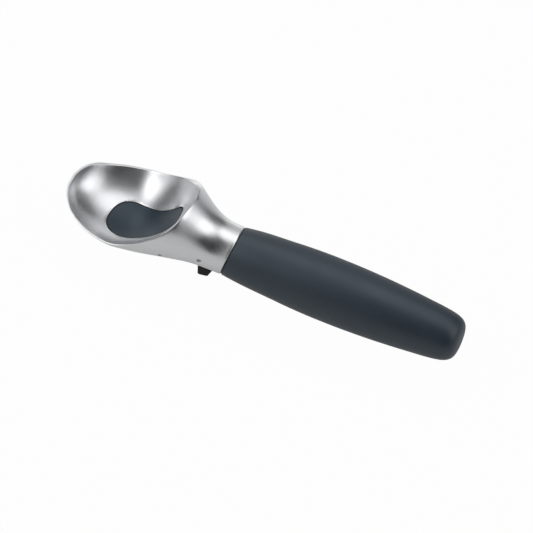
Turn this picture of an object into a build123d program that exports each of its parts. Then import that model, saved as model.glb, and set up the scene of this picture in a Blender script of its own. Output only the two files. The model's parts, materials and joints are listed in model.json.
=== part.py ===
from build123d import *
from math import cos, pi, radians, sin, sqrt
import os

# Ice cream scoop with a trigger that lifts a soft pad out of the bowl floor.
# Sizes are in millimetres. Shapes are drawn from the centre of the collar seam,
# with +X along the handle and +Z out of the bowl, then set in the part's frame,
# whose origin is the centre of the handle's end face.

# Bowl: a circle across the bowl at each station, its radius and floor from these sizes
bowl_mid_x = -56.0
bowl_nose_length = 32.3
bowl_rear_length = 32.6
bowl_floor_z = -10.2
bowl_nose_rise = 15.0
bowl_rear_top_z = 26.4
bowl_mid_radius = 35.5
bowl_half_width = 26.9
rear_fullness = 2.2
rear_floor_fullness = 1.6
rim_mid_z = 2.1
rim_slope = 0.31
rim_curl = 0.00045
bowl_nose_shares = (0.992, 0.95, 0.86, 0.75, 0.6, 0.42, 0.22)
bowl_rear_shares = (0.0, 0.22, 0.42, 0.6, 0.75, 0.865, 0.94, 0.98, 0.995)

# Rim line seen from the side, from ahead of the tip to above the hood
tip_ahead = (-92.0, 5.0)
tip_rim = (-88.5, 4.85)
nose_shoulder = (-84.0, 4.1)
nose_side = (-76.5, 2.1)
rim_low = (-67.5, 1.5)
rim_rear = (-48.2, 4.6)
hood_foot = (-39.6, 9.3)
hood_front = (-33.7, 13.5)
hood_brow = (-27.2, 20.5)
hood_peak = (-22.5, 31.0)
trim_height = 60.0

# Outside of the head: the nose, then circles (x, radius, centre height) to the collar
nose_shares = (0.0, 0.22, 0.42, 0.6, 0.75, 0.86, 0.95, 0.995)
nose_length = 33.3
belly_z = -14.3
nose_rise = 18.7
body_mid_radius = 31.5
collar_radius = 13.2
neck_circles = [
    (-4.0, 13.3, 0.1),
    (-9.0, 13.8, 0.9),
    (-15.0, 15.2, 2.8),
    (-21.0, 17.6, 5.4),
    (-26.5, 20.1, 7.6),
    (-36.5, 23.4, 9.6),
    (-46.0, 27.2, 12.6),
    (-51.0, 29.6, 15.2),
]
collar_edge = 0.4

# Handle
handle_length = 124.0
handle_waist = (25.0, 15.35)
handle_belly = (56.0, 16.45)
taper_from_end = 34.5
taper_radius = 15.2
tail_from_end = 8.0
tail_radius = 12.6
end_face_radius = 4.0
grip_thickness = 2.0
grip_edge = 0.5
seal_thickness = 0.6
seal_recess = 0.5
seal_width = 2.5

# Inside the handle
spigot_radius = 8.0
spigot_length = 24.0
spigot_flat = 6.6
socket_clearance = 0.15
tie_radius = 2.5
tie_clearance = 0.3
tie_engagement = 16.0
tie_head_radius = 4.25
tie_head_height = 4.5
tie_hex_radius = 2.3
tie_hex_depth = 2.6
washer_radius = 4.8
washer_thickness = 1.2
tie_seat_from_end = 21.5
well_radius = 5.0
plug_length = 8.0

# Pad in the bowl floor and its carrier
pad_front_x = -65.7
pad_wide_x = -57.5
pad_half_width = 11.0
pad_waist_x = -43.0
pad_waist_half_width = 8.8
pad_tail_x = -36.0
pad_tail_half_width = 8.2
pad_tail_z = 8.7
pad_tail_corner = 5.0
pad_thickness = 1.2
plate_thickness = 0.8
pad_gap = 0.55
pocket_clearance = 0.3
pad_edge_tilt = 17.0
pad_side_fall = -0.17
pad_reach = 12.0

# Pivots, as points of the side view
front_pin = (-31.5, -1.2)
front_pin_radius = 1.0
rear_pin = (-12.4, 0.0)
rear_pin_radius = 1.25
pin_recess = 0.4
running_clearance = 0.05
bush_wall = 0.6
eye_wall = 1.3
hub_half_width = 2.8
side_clearance = 0.1
washer_rim = 1.2

# Channel for the levers in the neck
channel_half_width = 3.6
channel_front_x = -45.0
channel_rear_x = -2.4
channel_roof_z = 3.9
channel_floor_z = -30.0

# Ejector arm under the carrier
arm_front_x = -42.5
arm_front_z = -11.0
arm_root_z = -4.0
toe_length = 0.6
toe_depth = 3.0
contact_x = -24.0
contact_z = -0.3
lever_clearance = 0.1

# Trigger
nose_radius = 1.2
trigger_hub_wall = 1.3
web_under = -1.0
spring_side_y = 0.3
tab_top_z = -5.4
tab_front_x = -15.6
tab_rear_x = -6.8
tab_shoulder_z = -15.0
tab_tip_front = (-14.7, -23.3)
tab_tip_rear = (-9.5, -22.1)
tab_corner = 1.0
tab_half_width = 3.2

# Return spring
wire_radius = 0.3
coil_radius = 3.3
coil_pitch = 1.05
coil_half_turns = 3
spring_leg_length = 7.0
spring_room = 1.6

# Cover on the underside
cover_thickness = 1.2
cover_fit = 0.1
cover_front_x = -50.0
cover_rear_x = -1.2
cover_half_width = 6.0
cover_corner = 2.0
slot_front_x = -16.6
slot_rear_x = -2.4
slot_half_width = 3.6
screw_x = -47.6
screw_radius = 0.8
screw_head_radius = 1.5
screw_head_height = 0.9
screw_reach = 2.2
screw_slot = 0.4


def sag(share):
    """Height of a unit quarter circle at this share of its run."""
    return sqrt(1.0 - share * share)


def end_plane(x, z=0.0):
    """Plane square to the handle, looking along it."""
    return Plane(origin=(x, 0, z), x_dir=(0, 1, 0), z_dir=(1, 0, 0))


def circle_at(x, radius, bottom):
    return end_plane(x, bottom + radius) * Circle(radius)


def bowl_form(depth=0.0):
    """The bowl's hollow as a solid, grown by depth past the metal surface."""
    sections = []
    for share in bowl_nose_shares:
        radius = (bowl_mid_radius + depth) * sag(share)
        bottom = bowl_floor_z - depth + (bowl_nose_rise + depth) * (1 - sag(share))
        sections.append(circle_at(bowl_mid_x - share * (bowl_nose_length + depth), radius, bottom))
    for share in bowl_rear_shares:
        run = share * bowl_rear_length
        fall = (1 - share**rear_floor_fullness) ** (1 / rear_floor_fullness)
        bottom = bowl_rear_top_z - (bowl_rear_top_z - bowl_floor_z + depth) * fall
        half_width = depth + bowl_half_width * (1 - share**rear_fullness) ** (1 / rear_fullness)
        rise = rim_mid_z + rim_slope * run + rim_curl * run**3 - bottom
        radius = (rise * rise + half_width * half_width) / (2 * rise)
        sections.append(circle_at(bowl_mid_x + share * (bowl_rear_length + depth), radius, bottom))
    return loft(sections)


def outer_form():
    """The head's outside, from the collar round the nose."""
    sections = [circle_at(0, collar_radius, -collar_radius)]
    for x, radius, height in neck_circles:
        sections.append(circle_at(x, radius, height - radius))
    for share in nose_shares:
        bottom = belly_z + nose_rise * (1 - sag(share))
        sections.append(circle_at(bowl_mid_x - share * nose_length, body_mid_radius * sag(share), bottom))
    return loft(sections)


def collar_bevel():
    """The ring of metal taken off the collar's edge at the seam."""
    inner = collar_radius - collar_edge
    outer = collar_radius + collar_edge
    return revolve(make_face(Polyline((0, inner), (-2 * collar_edge, outer), (0, outer), close=True)), Axis.X)


def rim_trim():
    """Everything above the rim line, which is one curve seen from the side."""
    nose = (tip_ahead, tip_rim, nose_shoulder, nose_side, rim_low, (bowl_mid_x, rim_mid_z))
    curve = Spline(*nose, rim_rear, hood_foot, hood_front, hood_brow, hood_peak)
    edges = Polyline(hood_peak, (hood_peak[0], trim_height), (tip_ahead[0], trim_height), tip_ahead)
    return extrude(Plane.XZ * make_face(curve + edges), trim_height, both=True)


def across_at(centre, y):
    """Plane square to Y at a point of the side view."""
    return Plane(origin=(centre[0], y, centre[1]), x_dir=(1, 0, 0), z_dir=(0, 1, 0))


def bar_through(centre, radius, half_length):
    """A round bar along Y through a point of the side view."""
    return extrude(across_at(centre, 0) * Circle(radius), half_length, both=True)


def side_prism(points, half_width):
    """A side-view outline given a width across the scoop."""
    return extrude(Plane.XZ * make_face(Polyline(*points, close=True)), half_width, both=True)


def box_between(low, high):
    size = Vector(*high) - Vector(*low)
    return Pos(*low) * Box(size.X, size.Y, size.Z, align=(Align.MIN, Align.MIN, Align.MIN))


def post(x, z, radius, height):
    """An upright round bar on the scoop's middle plane, from a height upwards."""
    return extrude(Pos(x, 0, z) * Circle(radius), height)


def ahead_of(x):
    """All the space on the bowl's side of a station."""
    return box_between((x - trim_height, -trim_height, -trim_height), (x, trim_height, trim_height))


def eye_radius():
    return front_pin_radius + running_clearance + bush_wall + eye_wall


def pad_outline(grow):
    """Plan of the pad on a plane through the bowl's floor, grown by the gap all round."""
    nose = pad_front_x - grow
    wide = pad_half_width + grow
    waist = pad_waist_half_width + grow
    tail = pad_tail_half_width + grow
    end = rear_pin[0]
    side = Spline((nose, 0), (pad_wide_x, wide), (pad_waist_x, waist), tangents=[(0, 1), (1, pad_side_fall)])
    bend = Spline((pad_waist_x, waist), (pad_tail_x, tail), tangents=[(1, pad_side_fall), (1, 0)])
    half = side + bend + Polyline((pad_tail_x, tail), (end, tail), (end, 0), (nose, 0))
    flat = make_face(half)
    return flat + mirror(flat, Plane.XZ)


def pad_prism(grow):
    """The space the pad fills on its way out, its edges following the swing at the front."""
    lean = Vector(-sin(radians(pad_edge_tilt)), 0, cos(radians(pad_edge_tilt)))
    plan = Pos(0, 0, bowl_floor_z - pad_reach) * pad_outline(grow)
    shift = pad_reach * sin(radians(pad_edge_tilt)) / cos(radians(pad_edge_tilt))
    column = extrude(Pos(shift, 0, 0) * plan, 4 * pad_reach, dir=lean)
    return column & (ahead_of(pad_tail_x) + tail_drum(grow))


def tail_drum(grow):
    """The round the pad's tail sweeps about its pin, with rounded rims that give the tail its corners."""
    drum = bar_through(front_pin, pad_tail_z - front_pin[1] + grow, pad_tail_half_width + grow)
    return fillet(drum.edges().filter_by(GeomType.CIRCLE), pad_tail_corner)


def ring_across(centre, y_from, y_to, bore, rim):
    """A ring round a pin, between two distances across the scoop."""
    return extrude(across_at(centre, y_from) * (Circle(rim) - Circle(bore)), y_to - y_from)


def both_sides(solid):
    return solid + mirror(solid, Plane.XZ)


def recessed_pin(outer, centre, radius):
    """A pin across the head whose ends follow its sides, a little below them."""
    bar = bar_through(centre, radius, body_mid_radius)
    return bar & (Pos(0, pin_recess, 0) * outer) & (Pos(0, -pin_recess, 0) * outer)


def pin_washers(centre, radius):
    inside = hub_half_width + side_clearance
    outside = channel_half_width - side_clearance
    rim = radius + washer_rim
    return both_sides(ring_across(centre, inside, outside, radius + running_clearance, rim))


def pin_bush(centre, radius):
    bore = radius + running_clearance
    return ring_across(centre, -hub_half_width, hub_half_width, bore, bore + bush_wall)


def cover_plan(grow):
    length = cover_rear_x - cover_front_x + 2 * grow
    middle = (cover_rear_x + cover_front_x) / 2
    return Pos(middle, 0, channel_floor_z) * RectangleRounded(length, 2 * (cover_half_width + grow), cover_corner)


def spigot(grow):
    """Round spigot with two flats, which stop the handle from turning."""
    length = spigot_length + grow
    flat = spigot_flat + grow
    return bar_along(0, spigot_radius + grow, length) & box_between((0, -trim_height, -flat), (length, trim_height, flat))


def make_head(outer, bowl, pocket):
    head = outer - bowl - rim_trim() - collar_bevel()
    head -= pocket
    # Room behind the pad's tail, which swings back under the bowl's rear wall
    swing = tail_drum(pad_gap)
    above = box_between((-trim_height, -trim_height, front_pin[1]), (0, trim_height, trim_height))
    head -= swing & above
    channel = [
        (channel_front_x, channel_floor_z),
        (channel_front_x, channel_roof_z),
        (channel_rear_x, channel_roof_z),
        (channel_rear_x, channel_floor_z),
    ]
    head -= side_prism(channel, channel_half_width)
    seat = extrude(cover_plan(cover_fit), -channel_floor_z)
    head -= seat - (Pos(0, 0, cover_thickness + cover_fit) * outer)
    head -= bar_through(front_pin, front_pin_radius, body_mid_radius)
    head -= bar_through(rear_pin, rear_pin_radius, body_mid_radius)
    head -= screw_hole(screw_radius)
    head += spigot(0)
    return head - bar_along(spigot_length - tie_engagement, tie_radius, tie_engagement)


def screw_hole(radius):
    return post(screw_x, channel_floor_z, radius, screw_top_z() - channel_floor_z)


def screw_top_z():
    return belly_z + cover_thickness + screw_reach


def make_cover(outer):
    sheet = extrude(cover_plan(0), -channel_floor_z) & outer
    sheet -= Pos(0, 0, cover_thickness) * outer
    sheet -= box_between((slot_front_x, -slot_half_width, channel_floor_z), (slot_rear_x, slot_half_width, 0))
    sheet -= screw_hole(screw_radius)
    return sheet - post(screw_x, channel_floor_z, screw_head_radius, belly_z + screw_head_height - channel_floor_z)


def make_cover_screw():
    head = post(screw_x, belly_z, screw_head_radius, screw_head_height)
    shank = post(screw_x, belly_z, screw_radius, screw_top_z() - belly_z)
    half_slot = screw_slot / 2
    slot_ends = (screw_x - screw_head_radius, -half_slot), (screw_x + screw_head_radius, half_slot)
    return head + shank - box_between((*slot_ends[0], belly_z), (*slot_ends[1], belly_z + screw_slot))


def make_carrier(plate):
    """Stiff plate under the pad, with its eye and the toe that the trigger pushes down."""
    bore = front_pin_radius + running_clearance + bush_wall
    beam = [
        (arm_front_x, arm_front_z),
        (arm_front_x, arm_front_z + 2 * eye_radius()),
        (front_pin[0], front_pin[1] + 2 * eye_radius()),
        (front_pin[0], front_pin[1] - eye_radius()),
    ]
    toe_end = contact_x + toe_length
    toe = [
        (front_pin[0], contact_z),
        (toe_end, contact_z),
        (toe_end, contact_z - toe_depth),
        (front_pin[0], front_pin[1] - eye_radius()),
    ]
    arm = side_prism(beam, hub_half_width) - bowl_form(pad_thickness + plate_thickness / 2)
    arm += side_prism(toe, hub_half_width)
    arm += bar_through(front_pin, eye_radius(), hub_half_width)
    return plate + arm - bar_through(front_pin, bore, hub_half_width)


def make_trigger():
    bore = rear_pin_radius + running_clearance + bush_wall
    hub_radius = bore + trigger_hub_wall
    nose = (contact_x, contact_z + lever_clearance + nose_radius)
    web = [
        (rear_pin[0], rear_pin[1] + hub_radius),
        (nose[0], nose[1] + nose_radius),
        (nose[0], nose[1] - nose_radius),
        (rear_pin[0] - hub_radius, rear_pin[1] + web_under),
        (tab_front_x, tab_top_z),
        (tab_rear_x, tab_top_z),
        (rear_pin[0] + hub_radius, rear_pin[1]),
    ]
    lever = side_prism(web, hub_half_width) + bar_through(nose, nose_radius, hub_half_width)
    lever += bar_through(rear_pin, hub_radius, hub_half_width)
    # One side is cut back to a thin seat for the return spring
    side = box_between((-trim_height, spring_side_y, -trim_height), (trim_height, trim_height, trim_height))
    round_spring = bar_through(rear_pin, coil_radius + spring_room, channel_half_width)
    seat = bar_through(rear_pin, bore + trigger_hub_wall / 3, channel_half_width)
    lever -= (round_spring - seat) & side
    tab = [
        (tab_front_x, tab_top_z),
        (tab_front_x, tab_shoulder_z),
        tab_tip_front,
        tab_tip_rear,
        (tab_rear_x, tab_shoulder_z),
        (tab_rear_x, tab_top_z),
    ]
    finger = side_prism(tab, tab_half_width)
    tips = finger.edges().filter_by(Axis.Y).group_by(Axis.Z)[0] + finger.edges().filter_by(Axis.Y).group_by(Axis.Z)[1]
    finger = fillet(tips, tab_corner)
    return lever + finger - bar_through(rear_pin, bore, hub_half_width)


def make_spring():
    """Torsion spring: half turns that each climb half a pitch, and a straight leg at each end."""
    start_y = spring_side_y + coil_pitch / 2
    edges = []
    points = []
    for step in range(2 * coil_half_turns + 1):
        quarter = step % 4
        across = (0, 1, 0, -1)[quarter] * coil_radius
        up = (-1, 0, 1, 0)[quarter] * coil_radius
        points.append(Vector(rear_pin[0] + across, start_y + step * coil_pitch / 4, rear_pin[1] + up))
    first_leg = Line(points[0] - Vector(spring_leg_length, 0, 0), points[0])
    edges.append(first_leg)
    for turn in range(coil_half_turns):
        edges.append(ThreePointArc(*points[2 * turn : 2 * turn + 3]))
    edges.append(Line(points[-1], points[-1] - Vector(spring_leg_length, 0, 0)))
    path = Wire(edges)
    section = Plane(origin=first_leg @ 0, z_dir=first_leg % 0) * Circle(wire_radius)
    print("spring: least gap to itself", round(least_gap(path), 2))
    return sweep(section, path=path)


def least_gap(path):
    """Least clear distance between two turns, measured on points along the wire."""
    steps = round(path.length / wire_radius)
    line = [path @ (step / steps) for step in range(steps + 1)]
    quarter_turn = round(pi / 2 * coil_radius / wire_radius)
    pairs = ((near - far).length for start, near in enumerate(line) for far in line[start + quarter_turn :])
    return min(pairs) - 2 * wire_radius


def handle_form(depth):
    """The handle's round body, all its walls moved in by depth."""
    start = (seal_thickness, collar_radius - depth)
    taper = (handle_length - taper_from_end, taper_radius)
    tail = (handle_length - tail_from_end, tail_radius)
    stations = [(x, radius - depth) for x, radius in (handle_waist, handle_belly, taper, tail)]
    side = Spline(start, *stations)
    corner_end = (handle_length - depth, end_face_radius)
    corner = Spline(stations[-1], corner_end, tangents=[side % 1, (0, -1)])
    rest = Polyline(corner_end, (handle_length - depth, 0), (seal_thickness, 0), start)
    return revolve(make_face(side + corner + rest), Axis.X)


def bar_along(start_x, radius, length):
    return extrude(end_plane(start_x) * Circle(radius), length)


def tie_seat():
    """Where the tie screw's washer seats in the core."""
    return handle_length - tie_seat_from_end


def make_core(form):
    core = form - spigot(socket_clearance)
    core -= bar_along(0, tie_radius + tie_clearance, tie_seat())
    return core - bar_along(tie_seat(), well_radius, handle_length)


def make_grip(form):
    grip = handle_form(0) - form
    front = grip.edges().filter_by(GeomType.CIRCLE).group_by(Axis.X)[0]
    return fillet(front.sort_by(SortBy.RADIUS)[-1], grip_edge)


def make_plug(form):
    inner_end = handle_length - grip_thickness
    return bar_along(inner_end - plug_length, well_radius, plug_length) & form


def make_tie_washer():
    return bar_along(tie_seat(), washer_radius, washer_thickness) - bar_along(tie_seat(), tie_radius, washer_thickness)


def make_tie_screw():
    tip = spigot_length - tie_engagement
    head_x = tie_seat() + washer_thickness
    screw = bar_along(tip, tie_radius, head_x - tip) + bar_along(head_x, tie_head_radius, tie_head_height)
    hex_x = head_x + tie_head_height - tie_hex_depth
    return screw - extrude(end_plane(hex_x) * RegularPolygon(tie_hex_radius, 6), tie_hex_depth)


def make_seal():
    outer_radius = collar_radius - seal_recess
    return bar_along(0, outer_radius, seal_thickness) - bar_along(0, outer_radius - seal_width, seal_thickness)


def save(name, solid):
    """Write one sub-part, set in the frame of the finished part."""
    export_step(Pos(-handle_length, 0, 0) * solid, f"parts/{name}.step")


def main():
    os.makedirs("parts", exist_ok=True)
    outer = outer_form()
    bowl = bowl_form()
    under_pad = bowl_form(pad_thickness)
    under_plate = bowl_form(pad_thickness + plate_thickness)
    pocket = bowl_form(pad_thickness + plate_thickness + pocket_clearance) & pad_prism(pad_gap)
    prism = pad_prism(0)
    save("scoop_head", make_head(outer, bowl, pocket))
    save("ejector_pad", (under_pad - bowl) & prism)
    save("ejector_carrier", make_carrier((under_plate - under_pad) & prism))
    save("ejector_bush", pin_bush(front_pin, front_pin_radius))
    save("front_pivot_pin", recessed_pin(outer, front_pin, front_pin_radius))
    save("front_washers", pin_washers(front_pin, front_pin_radius))
    save("trigger", make_trigger())
    save("trigger_bush", pin_bush(rear_pin, rear_pin_radius))
    save("rear_pivot_pin", recessed_pin(outer, rear_pin, rear_pin_radius))
    save("rear_washers", pin_washers(rear_pin, rear_pin_radius))
    save("return_spring", make_spring())
    save("mechanism_cover", make_cover(outer))
    save("cover_screw", make_cover_screw())
    save("collar_seal", make_seal())
    core_form = handle_form(grip_thickness)
    save("handle_core", make_core(core_form))
    save("tie_screw", make_tie_screw())
    save("tie_washer", make_tie_washer())
    save("core_end_plug", make_plug(core_form))
    save("grip_sleeve", make_grip(core_form))


main()
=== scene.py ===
import json
import math
import bpy
import bmesh
from mathutils import Matrix, Vector
from mathutils.bvhtree import BVHTree


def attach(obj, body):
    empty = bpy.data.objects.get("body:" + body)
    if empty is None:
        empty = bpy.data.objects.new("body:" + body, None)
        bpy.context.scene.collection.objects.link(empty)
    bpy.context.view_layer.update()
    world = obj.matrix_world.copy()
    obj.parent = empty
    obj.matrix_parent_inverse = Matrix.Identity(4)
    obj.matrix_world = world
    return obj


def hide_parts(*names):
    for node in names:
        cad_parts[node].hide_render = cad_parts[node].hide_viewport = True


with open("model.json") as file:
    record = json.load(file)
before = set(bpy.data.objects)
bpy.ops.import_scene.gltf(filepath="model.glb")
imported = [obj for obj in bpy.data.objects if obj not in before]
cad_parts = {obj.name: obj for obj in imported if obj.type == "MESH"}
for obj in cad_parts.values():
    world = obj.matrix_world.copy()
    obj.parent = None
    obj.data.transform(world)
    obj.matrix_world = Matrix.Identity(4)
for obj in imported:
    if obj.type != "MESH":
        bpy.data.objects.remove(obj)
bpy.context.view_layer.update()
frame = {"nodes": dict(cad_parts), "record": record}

nodes = frame["nodes"]
seamX = -0.124  # where the collar meets the handle
print("frame loaded:", len(nodes), "nodes")


# materials

def newMaterial(name):
    mat = bpy.data.materials.new(name)
    mat.use_nodes = True
    tree = mat.node_tree
    return mat, tree, tree.nodes["Principled BSDF"]


def grey(value):
    return (value, value, value, 1.0)


def objectNoise(tree, scale, detail, roughness=0.5, stretch=(1.0, 1.0, 1.0)):
    coords = tree.nodes.new("ShaderNodeTexCoord")
    mapping = tree.nodes.new("ShaderNodeMapping")
    mapping.inputs["Scale"].default_value = stretch
    noise = tree.nodes.new("ShaderNodeTexNoise")
    noise.inputs["Scale"].default_value = scale
    noise.inputs["Detail"].default_value = detail
    noise.inputs["Roughness"].default_value = roughness
    tree.links.new(coords.outputs["Object"], mapping.inputs["Vector"])
    tree.links.new(mapping.outputs["Vector"], noise.inputs["Vector"])
    return noise.outputs["Fac"]


cloud = {"low": 0.3, "high": 0.7, "toneDetail": 3.0, "fineDetail": 2.0, "grainRoughness": 0.6}


def spreadNoise(tree, noise, target, lowColour, highColour):
    band = tree.nodes.new("ShaderNodeValToRGB")
    low, high = band.color_ramp.elements
    low.position, low.color = cloud["low"], lowColour
    high.position, high.color = cloud["high"], highColour
    tree.links.new(noise, band.inputs["Fac"])
    tree.links.new(band.outputs["Color"], target)


def finishMaterial(spec):
    mat, tree, shader = newMaterial(spec["name"])
    shader.inputs["Metallic"].default_value = spec.get("metallic", 0.0)
    shader.inputs["Specular IOR Level"].default_value = spec.get("specular", 0.5)
    shader.inputs["Specular Tint"].default_value = spec.get("sheen", (1.0, 1.0, 1.0)) + (1.0,)
    tone = objectNoise(tree, spec["toneScale"], cloud["toneDetail"])
    spreadNoise(tree, tone, shader.inputs["Base Color"], spec["dark"] + (1.0,), spec["light"] + (1.0,))
    rough = objectNoise(tree, spec["roughScale"], cloud["fineDetail"])
    spreadNoise(tree, rough, shader.inputs["Roughness"], grey(spec["roughLow"]), grey(spec["roughHigh"]))
    grain = objectNoise(tree, spec["grainScale"], cloud["fineDetail"], cloud["grainRoughness"],
                        spec.get("stretch", (1.0, 1.0, 1.0)))
    bump = tree.nodes.new("ShaderNodeBump")
    bump.inputs["Strength"].default_value = spec["grainStrength"]
    bump.inputs["Distance"].default_value = spec["grainDepth"]
    tree.links.new(grain, bump.inputs["Height"])
    tree.links.new(bump.outputs["Normal"], shader.inputs["Normal"])
    return mat


finishes = {
    "satin_metal": {
        "name": "beadBlastedAlloy", "metallic": 1.0,
        "dark": (0.74, 0.745, 0.755), "light": (0.78, 0.785, 0.795), "toneScale": 60.0,
        "roughLow": 0.31, "roughHigh": 0.36, "roughScale": 140.0,
        "grainScale": 5200.0, "grainStrength": 0.12, "grainDepth": 0.00004},
    "pad_silicone": {
        "name": "slateSilicone", "specular": 0.58, "sheen": (0.78, 0.92, 1.0),
        "dark": (0.012, 0.023, 0.035), "light": (0.015, 0.028, 0.042), "toneScale": 90.0,
        "roughLow": 0.34, "roughHigh": 0.40, "roughScale": 160.0,
        "grainScale": 3800.0, "grainStrength": 0.1, "grainDepth": 0.00003},
    "dark_plastic": {
        "name": "darkMouldedPlastic",
        "dark": (0.018, 0.018, 0.020), "light": (0.024, 0.024, 0.027), "toneScale": 120.0,
        "roughLow": 0.5, "roughHigh": 0.6, "roughScale": 200.0,
        "grainScale": 2600.0, "grainStrength": 0.15, "grainDepth": 0.00004},
    "bush_plastic": {
        "name": "naturalAcetal",
        "dark": (0.68, 0.67, 0.63), "light": (0.74, 0.73, 0.69), "toneScale": 300.0,
        "roughLow": 0.35, "roughHigh": 0.45, "roughScale": 500.0,
        "grainScale": 3000.0, "grainStrength": 0.08, "grainDepth": 0.00002},
    "pin_steel": {
        "name": "turnedPinSteel", "metallic": 1.0, "stretch": (1.0, 0.15, 1.0),
        "dark": (0.34, 0.30, 0.25), "light": (0.52, 0.47, 0.40), "toneScale": 700.0,
        "roughLow": 0.3, "roughHigh": 0.42, "roughScale": 900.0,
        "grainScale": 6000.0, "grainStrength": 0.15, "grainDepth": 0.00002},
    "trigger_plastic": {
        "name": "triggerPlastic", "specular": 0.3,
        "dark": (0.004, 0.004, 0.006), "light": (0.006, 0.006, 0.008), "toneScale": 200.0,
        "roughLow": 0.42, "roughHigh": 0.52, "roughScale": 320.0,
        "grainScale": 3600.0, "grainStrength": 0.12, "grainDepth": 0.00003},
    "bush_brass": {
        "name": "turnedBrass", "metallic": 1.0, "stretch": (1.0, 0.15, 1.0),
        "dark": (0.50, 0.36, 0.17), "light": (0.62, 0.47, 0.24), "toneScale": 600.0,
        "roughLow": 0.28, "roughHigh": 0.38, "roughScale": 900.0,
        "grainScale": 6000.0, "grainStrength": 0.1, "grainDepth": 0.00002},
    "seal_rubber": {
        "name": "blackSealRubber",
        "dark": (0.006, 0.006, 0.007), "light": (0.010, 0.010, 0.011), "toneScale": 400.0,
        "roughLow": 0.6, "roughHigh": 0.7, "roughScale": 500.0,
        "grainScale": 3000.0, "grainStrength": 0.15, "grainDepth": 0.00003},
    "core_plastic": {
        "name": "coreNylon",
        "dark": (0.045, 0.052, 0.060), "light": (0.060, 0.068, 0.077), "toneScale": 120.0,
        "roughLow": 0.5, "roughHigh": 0.6, "roughScale": 260.0,
        "grainScale": 2400.0, "grainStrength": 0.15, "grainDepth": 0.00004},
    "grip_rubber": {
        "name": "softTouchGrip", "specular": 0.88, "sheen": (0.82, 0.93, 1.0),
        "dark": (0.011, 0.019, 0.030), "light": (0.014, 0.024, 0.037), "toneScale": 45.0,
        "roughLow": 0.47, "roughHigh": 0.54, "roughScale": 90.0,
        "grainScale": 4200.0, "grainStrength": 0.12, "grainDepth": 0.00003},
}
materials = {slot: finishMaterial(spec) for slot, spec in finishes.items()}
slotOf = {part["node"]: part["material_slot"] for part in frame["record"]["subparts"]}
print("finishes ready:", len(materials))


# the frame's own solids get smooth faces with crisp edges

mergeDistance = 0.000002
crispAngle = 28.0


def shadeSmooth(piece, angle):
    for poly in piece.data.polygons:
        poly.use_smooth = True
    split = piece.modifiers.new("crispEdges", "EDGE_SPLIT")
    split.split_angle = math.radians(angle)


for name, node in nodes.items():
    node.data.materials.clear()
    node.data.materials.append(materials[slotOf[name]])
    weld = node.modifiers.new("weld", "WELD")
    weld.merge_threshold = mergeDistance
    shadeSmooth(node, crispAngle)
print("frame pieces dressed")


# pieces that Blender makes, each in the place of its CAD node

def addObject(name, data):
    thing = bpy.data.objects.new(name, data)
    bpy.context.scene.collection.objects.link(thing)
    return thing


def meshData(name, mesh):
    data = bpy.data.meshes.new(name)
    mesh.to_mesh(data)
    mesh.free()
    return data


def mergedCopy(name):
    mesh = bmesh.new()
    mesh.from_mesh(nodes[name].data)
    bmesh.ops.remove_doubles(mesh, verts=mesh.verts, dist=mergeDistance)
    return mesh


def meshFromCurve(curve):
    holder = bpy.data.objects.new(curve.name, curve)
    line = bpy.data.meshes.new_from_object(holder)
    mesh = bmesh.new()
    mesh.from_mesh(line)
    bpy.data.objects.remove(holder)
    bpy.data.meshes.remove(line)
    bpy.data.curves.remove(curve)
    return mesh


def cleanUp(mesh):
    bmesh.ops.remove_doubles(mesh, verts=mesh.verts, dist=mergeDistance)
    bmesh.ops.recalc_face_normals(mesh, faces=mesh.faces)


def finishPiece(name, mesh, node, body, angle=crispAngle):
    piece = addObject(name, meshData(name, mesh))
    shadeSmooth(piece, angle)
    piece.data.materials.append(materials[slotOf[node]])
    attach(piece, body)
    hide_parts(node)


def roundEdges(mesh, angle, width, segments, wanted=lambda edge: True):
    # the clamp takes the tightest spot's width for all edges, which leaves a few thousandths of a
    # millimetre at most, so this softens the shading at an edge and hardly its form
    sharp = [edge for edge in mesh.edges if len(edge.link_faces) == 2
             and edge.calc_face_angle() > math.radians(angle) and wanted(edge)]
    bmesh.ops.bevel(mesh, geom=sharp, offset=width, segments=segments, profile=0.5, affect="EDGES",
                    clamp_overlap=True, material=-1)


def ramp(value, low, high):
    return min(1.0, max(0.0, (value - low) / (high - low)))


# the joint between metal and grip leans: its top lies further along the handle than its underside

seam = {
    "slant": 0.17,
    "neckRun": 0.007, "spigotRun": 0.0005,  # how far the lean reaches into the head, ahead and behind
    "gripRun": 0.014,
    "evenRun": 1.0,  # so long that a piece leans as a whole
    "straightRadius": 0.0095,  # the spigot inside this stays straight
    "channelHalf": 0.0037, "channelRun": 0.00276,  # the wall behind the trigger hardly moves
}


def slantSeam(mesh, ahead, behind):
    for vert in mesh.verts:
        run = vert.co.x - seamX
        reach = ahead
        if abs(vert.co.y) < seam["channelHalf"] and vert.co.z < 0:
            reach = min(ahead, seam["channelRun"])  # so the pulled trigger stays clear of it
        share = max(0.0, 1.0 + run / reach) if run < 0 else max(0.0, 1.0 - run / behind)
        if math.hypot(vert.co.y, vert.co.z) > seam["straightRadius"]:
            vert.co.x += seam["slant"] * vert.co.z * share


# the pad, a little wider than its solid; a negative value at a station moves outward too, but down

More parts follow.
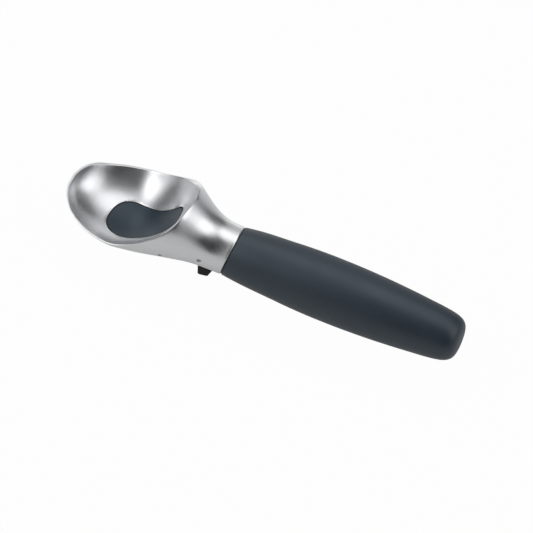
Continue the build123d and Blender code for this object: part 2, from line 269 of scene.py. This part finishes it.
pad = {
    "edgeRound": 0.0006, "edgeAngle": 40.0, "edgeSegments": 3, "crispAngle": 50.0,  # width before the clamp
    "near": 0.0025, "fade": 0.004,  # only what is this close to the solid pad moves
    "bowlRadius": 0.033,
    "from": 0.002, "full": 0.008, "until": 0.012, "gone": 0.02,  # distances from the middle line
    "nearSide": [(-0.066, 0.0), (-0.056, 0.0), (-0.050, 0.0008), (-0.045, 0.0016),
                 (-0.041, 0.0016), (-0.037, 0.0009), (-0.034, 0.0003), (-0.031, 0.0)],
    "farSide": [(-0.066, 0.0003), (-0.062, 0.0007), (-0.0575, 0.0009), (-0.050, 0.0009), (-0.045, 0.0006),
                (-0.040, 0.0003), (-0.036, 0.0), (-0.033, -0.0006), (-0.030, -0.0010), (-0.025, -0.0010)],
}


def spreadPad(mesh, padTree):
    # the pad and its pocket move sideways together, along the bowl's round floor
    for vert in mesh.verts:
        stations = pad["nearSide"] if vert.co.y < 0 else pad["farSide"]
        run, side = vert.co.x - seamX, abs(vert.co.y)
        if not stations[0][0] < run < stations[-1][0]:
            continue
        here = max(k for k in range(len(stations) - 1) if stations[k][0] <= run)
        low, high = stations[here], stations[here + 1]
        grow = low[1] + (high[1] - low[1]) * ramp(run, low[0], high[0])
        grow *= ramp(side, pad["from"], pad["full"]) * (1.0 - ramp(side, pad["until"], pad["gone"]))
        away = padTree.find_nearest(vert.co)[3]
        grow *= 1.0 - ramp(away, pad["near"], pad["near"] + pad["fade"])
        vert.co.y += math.copysign(grow, vert.co.y)
        vert.co.z += ((side + grow) ** 2 - side ** 2) / (2 * pad["bowlRadius"])


def makePad(padTree):
    mesh = mergedCopy("ejector_pad")
    spreadPad(mesh, padTree)
    roundEdges(mesh, pad["edgeAngle"], pad["edgeRound"], pad["edgeSegments"])
    finishPiece("padFace", mesh, "ejector_pad", "ejector", pad["crispAngle"])


# the head, with its edges in two passes, the widths before the clamp

head = {"rimRound": 0.0003, "pocketRound": 0.0005, "pocketReach": 0.0012,
        "edgeAngle": 40.0, "edgeSegments": 2}


def makeHead(padTree):
    mesh = mergedCopy("scoop_head")
    spreadPad(mesh, padTree)

    def inPocket(edge):
        middle = (edge.verts[0].co + edge.verts[1].co) / 2
        return padTree.find_nearest(middle)[3] < head["pocketReach"]

    def elsewhere(edge):
        return not inPocket(edge)

    roundEdges(mesh, head["edgeAngle"], head["pocketRound"], head["edgeSegments"], inPocket)
    roundEdges(mesh, head["edgeAngle"], head["rimRound"], head["edgeSegments"], elsewhere)
    slantSeam(mesh, seam["neckRun"], seam["spigotRun"])
    finishPiece("scoopHead", mesh, "scoop_head", "scoop")


def makeSeal():
    mesh = mergedCopy("collar_seal")
    slantSeam(mesh, seam["evenRun"], seam["evenRun"])
    finishPiece("sealRing", mesh, "collar_seal", "scoop")


# the grip, turned from a smooth profile: distance behind the seam and radius

grip = {
    "sides": 160, "steps": 8, "endFlat": 0.004, "crispAngle": 50.0,
    "outside": [(0.0006, 0.0132), (0.0045, 0.01372), (0.0120, 0.01452), (0.0250, 0.01535), (0.0400, 0.0162),
                (0.0560, 0.01645), (0.0730, 0.0161), (0.0895, 0.0152), (0.1030, 0.0141), (0.1110, 0.01335),
                (0.1160, 0.0126), (0.1190, 0.0118), (0.1213, 0.0106), (0.1228, 0.0090), (0.1236, 0.0070)],
    "inside": [(0.0006, 0.0112), (0.012, 0.0125), (0.025, 0.01335), (0.056, 0.01445), (0.0895, 0.0132),
               (0.114, 0.0107), (0.1205, 0.0075), (0.122, 0.004), (0.122, 0.0)],
}


def makeGrip():
    curve = bpy.data.curves.new("gripProfile", "CURVE")
    curve.dimensions = "3D"
    spline = curve.splines.new("BEZIER")
    outside = grip["outside"] + [(-seamX, grip["endFlat"])]
    spline.bezier_points.add(len(outside) - 1)
    for point, (run, radius) in zip(spline.bezier_points, outside):
        point.co = (seamX + run, 0.0, radius)
        point.handle_left_type = point.handle_right_type = "AUTO"
    spline.resolution_u = grip["steps"]
    mesh = meshFromCurve(curve)
    ends = [vert for vert in mesh.verts if len(vert.link_edges) == 1]
    last, rear = sorted(ends, key=lambda vert: vert.co.x)
    mesh.edges.new((rear, mesh.verts.new((0.0, 0.0, 0.0))))
    for run, radius in grip["inside"]:
        inner = mesh.verts.new((seamX + run, 0.0, radius))
        mesh.edges.new((last, inner))
        last = inner
    bmesh.ops.spin(mesh, geom=mesh.edges[:] + mesh.verts[:], cent=(0, 0, 0), axis=(1, 0, 0),
                   angle=2 * math.pi, steps=grip["sides"], use_merge=True)
    cleanUp(mesh)
    slantSeam(mesh, seam["evenRun"], seam["gripRun"])
    finishPiece("gripSleeve", mesh, "grip_sleeve", "scoop", grip["crispAngle"])


# the return spring, a coil round the rear pin with both legs forward

spring = {"wire": 0.0003, "coil": 0.0033, "pitch": 0.00105, "halfTurns": 3, "leg": 0.007, "side": 0.0003,
          "pinRun": -0.0124, "steps": 72, "wireSteps": 5, "crispAngle": 50.0}


def makeSpring():
    curve = bpy.data.curves.new("returnSpring", "CURVE")
    curve.dimensions = "3D"
    curve.bevel_depth = spring["wire"]
    curve.bevel_resolution = spring["wireSteps"]
    curve.use_fill_caps = True
    start = spring["side"] + spring["pitch"] / 2
    wire = []
    for step in range(spring["steps"] + 1):
        turned = math.pi * spring["halfTurns"] * step / spring["steps"]
        wire.append(Vector((seamX + spring["pinRun"] + spring["coil"] * math.sin(turned),
                            start + spring["pitch"] * turned / (2 * math.pi),
                            -spring["coil"] * math.cos(turned))))
    leg = Vector((spring["leg"], 0.0, 0.0))
    wire = [wire[0] - leg] + wire + [wire[-1] - leg]
    spline = curve.splines.new("POLY")
    spline.points.add(len(wire) - 1)
    for point, place in zip(spline.points, wire):
        point.co = (*place, 1.0)
    mesh = meshFromCurve(curve)
    cleanUp(mesh)
    finishPiece("returnSpring", mesh, "return_spring", "trigger_lever", spring["crispAngle"])


# both pins keep the form of their solids

pin = {"crispAngle": 40.0}


def makePin(name, node):
    finishPiece(name, mergedCopy(node), node, "scoop", pin["crispAngle"])


# the trigger keeps its own mesh, and its edges are clamped as those of the pieces are

trigger = {"edgeRound": 0.0006, "edgeAngle": 40.0, "edgeSegments": 3, "crispAngle": 50.0}


def roundTrigger():
    node = nodes["trigger"]
    bevel = node.modifiers.new("softEdges", "BEVEL")
    bevel.width = trigger["edgeRound"]
    bevel.segments = trigger["edgeSegments"]
    bevel.limit_method = "ANGLE"
    bevel.angle_limit = math.radians(trigger["edgeAngle"])
    node.modifiers.move(len(node.modifiers) - 1, 1)  # between the weld and the crisp edges
    node.modifiers["crispEdges"].split_angle = math.radians(trigger["crispAngle"])


padMesh = mergedCopy("ejector_pad")
padTree = BVHTree.FromBMesh(padMesh)
padMesh.free()
makeHead(padTree)
makeSeal()
makePad(padTree)
makeGrip()
makeSpring()
makePin("rearPin", "rear_pivot_pin")
makePin("frontPin", "front_pivot_pin")
roundTrigger()
print("pieces made")


# camera

view = {"turn": 9.0, "height": 50.0, "roll": 21.8, "distance": 5.0, "frameWidth": 0.2665,
        "right": 0.01876, "down": 0.00111, "sensor": 36.0, "clipEnd": 20.0}


def placeCamera():
    turn, height, roll = (math.radians(view[key]) for key in ("turn", "height", "roll"))
    towards = Vector((math.sin(turn), -math.cos(turn) * math.cos(height), math.cos(turn) * math.sin(height)))
    level = Vector((math.cos(turn), math.sin(turn) * math.cos(height), -math.sin(turn) * math.sin(height)))
    down = -towards.cross(level)
    right = level * math.cos(roll) - down * math.sin(roll)
    up = -(level * math.sin(roll) + down * math.cos(roll))
    centre = Vector((seamX, 0.0, 0.0)) + level * view["right"] + down * view["down"]
    data = bpy.data.cameras.new("photoCamera")
    data.sensor_width = view["sensor"]
    data.lens = view["sensor"] * view["distance"] / view["frameWidth"]
    data.clip_end = view["clipEnd"]
    camera = addObject("photoCamera", data)
    turned = Matrix((right, up, towards)).transposed()
    camera.matrix_world = Matrix.Translation(centre + towards * view["distance"]) @ turned.to_4x4()
    bpy.context.scene.camera = camera


placeCamera()


# floor and world: white where the camera sees them, dimmer in the metal's reflections

studio = {
    "floorZ": -0.0245, "floorSize": 6.0, "floorTone": 0.55, "floorRoughness": 0.9,
    "floorSeen": 0.98, "floorMirrored": 0.4,
    "worldColour": (0.38, 0.385, 0.40, 1.0), "worldSeen": 1.0, "worldMirrored": 0.3,
}


def mathNode(tree, operation):
    node = tree.nodes.new("ShaderNodeMath")
    node.operation = operation
    return node


def mixShaders(tree, amount, first, second):
    mix = tree.nodes.new("ShaderNodeMixShader")
    tree.links.new(amount, mix.inputs[0])
    tree.links.new(first, mix.inputs[1])
    tree.links.new(second, mix.inputs[2])
    return mix.outputs[0]


def whiteWhereSeen(tree, lit, white, cameraShare, mirrorShare):
    path = tree.nodes.new("ShaderNodeLightPath")
    amount = None  # the share of white, by the kind of ray
    for kind, share in (("Camera", cameraShare), ("Glossy", mirrorShare), ("Transmission", mirrorShare)):
        part = mathNode(tree, "MULTIPLY")
        part.inputs[1].default_value = share
        tree.links.new(path.outputs["Is " + kind + " Ray"], part.inputs[0])
        if amount:
            larger = mathNode(tree, "MAXIMUM")
            tree.links.new(amount.outputs[0], larger.inputs[0])
            tree.links.new(part.outputs[0], larger.inputs[1])
            amount = larger
        else:
            amount = part
    return mixShaders(tree, amount.outputs[0], lit, white)


def makeFloor():
    mesh = bmesh.new()
    bmesh.ops.create_grid(mesh, x_segments=1, y_segments=1, size=studio["floorSize"],
                          matrix=Matrix.Translation((seamX, 0.0, studio["floorZ"])))
    floor = addObject("paleFloor", meshData("paleFloor", mesh))
    mat, tree, shader = newMaterial("paleFloor")
    shader.inputs["Base Color"].default_value = grey(studio["floorTone"])
    shader.inputs["Roughness"].default_value = studio["floorRoughness"]
    glow = tree.nodes.new("ShaderNodeEmission")
    top = whiteWhereSeen(tree, shader.outputs[0], glow.outputs[0],
                         studio["floorSeen"], studio["floorMirrored"])
    side = tree.nodes.new("ShaderNodeNewGeometry")
    clear = tree.nodes.new("ShaderNodeBsdfTransparent")  # from below the floor isn't there
    mix = mixShaders(tree, side.outputs["Backfacing"], top, clear.outputs[0])
    tree.links.new(mix, tree.nodes["Material Output"].inputs[0])
    floor.data.materials.append(mat)


def makeWorld():
    world = bpy.data.worlds.new("studio")
    bpy.context.scene.world = world
    world.use_nodes = True
    tree = world.node_tree
    lit = tree.nodes["Background"]
    lit.inputs["Color"].default_value = studio["worldColour"]
    white = tree.nodes.new("ShaderNodeBackground")
    white.inputs["Color"].default_value = grey(1.0)
    out = whiteWhereSeen(tree, lit.outputs[0], white.outputs[0],
                         studio["worldSeen"], studio["worldMirrored"])
    tree.links.new(out, tree.nodes["World Output"].inputs[0])


makeFloor()
makeWorld()


# lamps, and the cards that the metal mirrors between them
# turn, height and size are in degrees, seen from the bowl

rig = {"aim": (seamX - 0.045, 0.0, 0.005), "lampReach": 1.2,
       "flagReach": 1.32, "flagTone": 0.02, "flagGrid": 8}
lamps = {
    "softboxLeft": {"turn": -56, "height": 41, "wide": 50, "tall": 36, "glow": 1.45},
    "softboxRight": {"turn": 93, "height": 39, "wide": 42, "tall": 42, "glow": 1.12},
    "stripBack": {"turn": -128, "height": 44, "wide": 26, "tall": 50, "glow": 1.05},
    "overhead": {"turn": 160, "height": 76, "wide": 40, "tall": 42, "glow": 0.95},
}
flags = {
    "flagFront": {"turn": 29, "height": 31, "wide": 60, "tall": 90, "shade": 0.0},
    "flagRight": {"turn": 86, "height": 2, "wide": 60, "tall": 24, "shade": 0.25},
    "flagLeft": {"turn": -101, "height": 16, "wide": 52, "tall": 42, "shade": 0.0},
    "flagBack": {"turn": -160, "height": 12, "wide": 40, "tall": 36, "shade": 0.55},
    "flagBackRight": {"turn": 149, "height": 26, "wide": 44, "tall": 36, "shade": 0.03},
    "flagRim": {"turn": -172, "height": 50, "wide": 26, "tall": 24, "shade": 0.75},
    "bounceBack": {"turn": -165, "height": -12, "wide": 70, "tall": 24, "shade": 1.3, "reach": 0.1},
}


def fromAim(turn, height, reach):
    turn, height = math.radians(turn), math.radians(height)
    side = Vector((math.sin(turn) * math.cos(height), -math.cos(turn) * math.cos(height), math.sin(height)))
    return Vector(rig["aim"]) + side * reach, side.to_track_quat("Z", "Y")


def sizeAt(reach, degrees):
    return 2 * reach * math.tan(math.radians(degrees / 2))


def addLamp(name, turn, height, wide, tall, glow):
    reach = rig["lampReach"]
    place, facing = fromAim(turn, height, reach)
    data = bpy.data.lights.new(name, "AREA")
    data.shape = "ELLIPSE"
    data.size, data.size_y = sizeAt(reach, wide), sizeAt(reach, tall)
    data.energy = glow * math.pi * (math.pi / 4) * data.size * data.size_y
    lamp = addObject(name, data)
    lamp.visible_camera = False
    lamp.location = place
    lamp.rotation_mode = "QUATERNION"
    lamp.rotation_quaternion = facing


def addFlag(name, turn, height, wide, tall, shade, reach=rig["flagReach"]):
    place, facing = fromAim(turn, height, reach)
    mesh = bmesh.new()
    bmesh.ops.create_grid(mesh, x_segments=rig["flagGrid"], y_segments=rig["flagGrid"], size=0.5,
                          matrix=Matrix.Translation(place) @ facing.to_matrix().to_4x4()
                          @ Matrix.Diagonal((sizeAt(reach, wide), sizeAt(reach, tall), 1.0, 1.0)))
    flag = addObject(name, meshData(name, mesh))
    mat, tree, shader = newMaterial(name)
    shader.inputs["Base Color"].default_value = grey(rig["flagTone"])
    shader.inputs["Roughness"].default_value = 1.0
    shader.inputs["Specular IOR Level"].default_value = 0.0
    shader.inputs["Emission Color"].default_value = grey(1.0)
    shader.inputs["Emission Strength"].default_value = shade
    flag.data.materials.append(mat)
    flag.visible_camera = False


for name, lamp in lamps.items():
    addLamp(name, **lamp)
for name, flag in flags.items():
    addFlag(name, **flag)
bpy.context.scene.view_settings.view_transform = "Standard"
print("camera, floor and lights ready")
